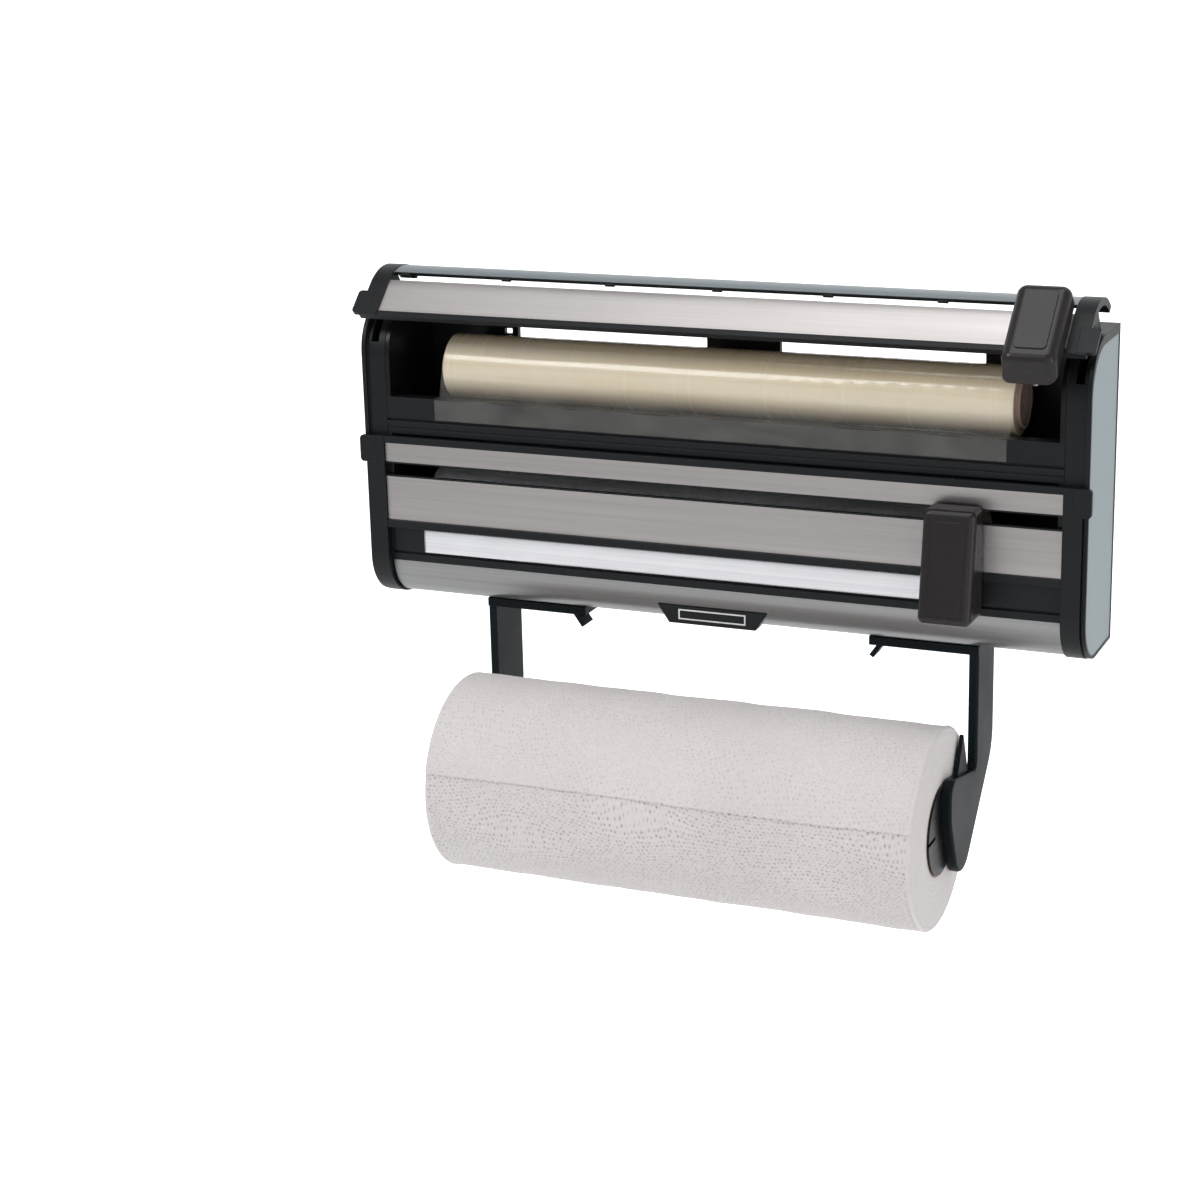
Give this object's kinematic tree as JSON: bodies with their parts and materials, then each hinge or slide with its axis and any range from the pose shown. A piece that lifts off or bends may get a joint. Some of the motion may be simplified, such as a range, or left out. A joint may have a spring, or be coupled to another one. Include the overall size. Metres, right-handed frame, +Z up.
{
  "type": "cling film dispenser",
  "caption": "Wall-mounted kitchen dispenser: hinged flap compartments for cling film and foil, each with a sliding cutter, above sliding arms that carry a kitchen-paper roll.",
  "frame": {"origin": "on the wall plane, midway between the two wall screw holes", "axes": "+X along the rolls to the right, +Y into the wall, +Z up; the front faces -Y"},
  "size_m": [0.384, 0.13, 0.3129],
  "materials": {
    "chassis_black": "moulded black plastic with a soft gloss",
    "anthracite": "moulded anthracite plastic, satin",
    "cap_panel": "light blue-grey satin",
    "steel": "brushed along the length",
    "cutter_black": "glossy dark grey plastic",
    "blade_steel": "bright ground steel",
    "pin_steel": "plain drawn pin",
    "arm_plastic": "dark teal-grey satin plastic",
    "cling_film": "wound clear film, glossy cream",
    "film_sheet": "clear stretch film",
    "foil": "bright household foil",
    "card_core": "plain card tube",
    "tissue": "soft embossed kitchen paper"
  },
  "bodies": {
    "housing": {"chassis": "chassis_black", "end_cap_left": "anthracite", "end_cap_right": "anthracite", "end_panel_left": "cap_panel", "end_panel_right": "cap_panel", "upper_rail": "anthracite", "lower_rail": "anthracite", "lower_trim": "steel", "badge_plate": "anthracite", "hinge_pins": "pin_steel", "film_web": "film_sheet", "foil_web": "foil"},
    "upper_flap": {"upper_flap_frame": "anthracite", "upper_flap_panel": "steel", "upper_flap_strip": "steel"},
    "lower_flap": {"lower_flap_frame": "anthracite", "lower_flap_panel": "steel", "lower_flap_strip": "steel"},
    "upper_cutter": {"upper_cutter_shell": "cutter_black", "upper_cutter_slider": "anthracite", "upper_cutter_blade": "blade_steel"},
    "lower_cutter": {"lower_cutter_shell": "cutter_black", "lower_cutter_slider": "anthracite", "lower_cutter_blade": "blade_steel"},
    "film_roll": {"film_core": "card_core", "film_spool": "cling_film"},
    "foil_roll": {"foil_core": "card_core", "foil_spool": "foil"},
    "kitchen_roll": {"paper_core": "card_core", "paper_roll": "tissue"},
    "left_arm": {"arm_left": "arm_plastic", "hub_left": "chassis_black"},
    "right_arm": {"arm_right": "arm_plastic", "hub_right": "chassis_black"}
  },
  "joints": [
    {"name": "upper_flap_hinge", "type": "hinge", "parent": "housing", "child": "upper_flap", "pos_m": [0, -0.0113, 0.0083], "axis": [1, 0, 0], "range_deg": [0, 47]},
    {"name": "lower_flap_hinge", "type": "hinge", "parent": "housing", "child": "lower_flap", "pos_m": [0, -0.016, -0.1143], "axis": [1, 0, 0], "range_deg": [0, 45]},
    {"name": "upper_cutter_slide", "type": "slide", "parent": "upper_flap", "child": "upper_cutter", "axis": [-1, 0, 0], "range_m": [0, 0.328]},
    {"name": "lower_cutter_slide", "type": "slide", "parent": "lower_flap", "child": "lower_cutter", "axis": [1, 0, 0], "range_m": [-0.292, 0.035]},
    {"name": "film_roll_turn", "type": "hinge", "parent": "housing", "child": "film_roll", "pos_m": [0, -0.027, -0.005], "axis": [1, 0, 0], "continuous": true},
    {"name": "foil_roll_turn", "type": "hinge", "parent": "housing", "child": "foil_roll", "pos_m": [-0.014, -0.028, -0.0745], "axis": [1, 0, 0], "continuous": true},
    {"name": "left_arm_slide", "type": "slide", "parent": "housing", "child": "left_arm", "axis": [-1, 0, 0], "range_m": [0, 0.025]},
    {"name": "right_arm_slide", "type": "slide", "parent": "housing", "child": "right_arm", "axis": [1, 0, 0], "range_m": [0, 0.025]},
    {"name": "kitchen_roll_turn", "type": "hinge", "parent": "housing", "child": "kitchen_roll", "pos_m": [0, -0.079, -0.2073], "axis": [1, 0, 0], "continuous": true}
  ]
}
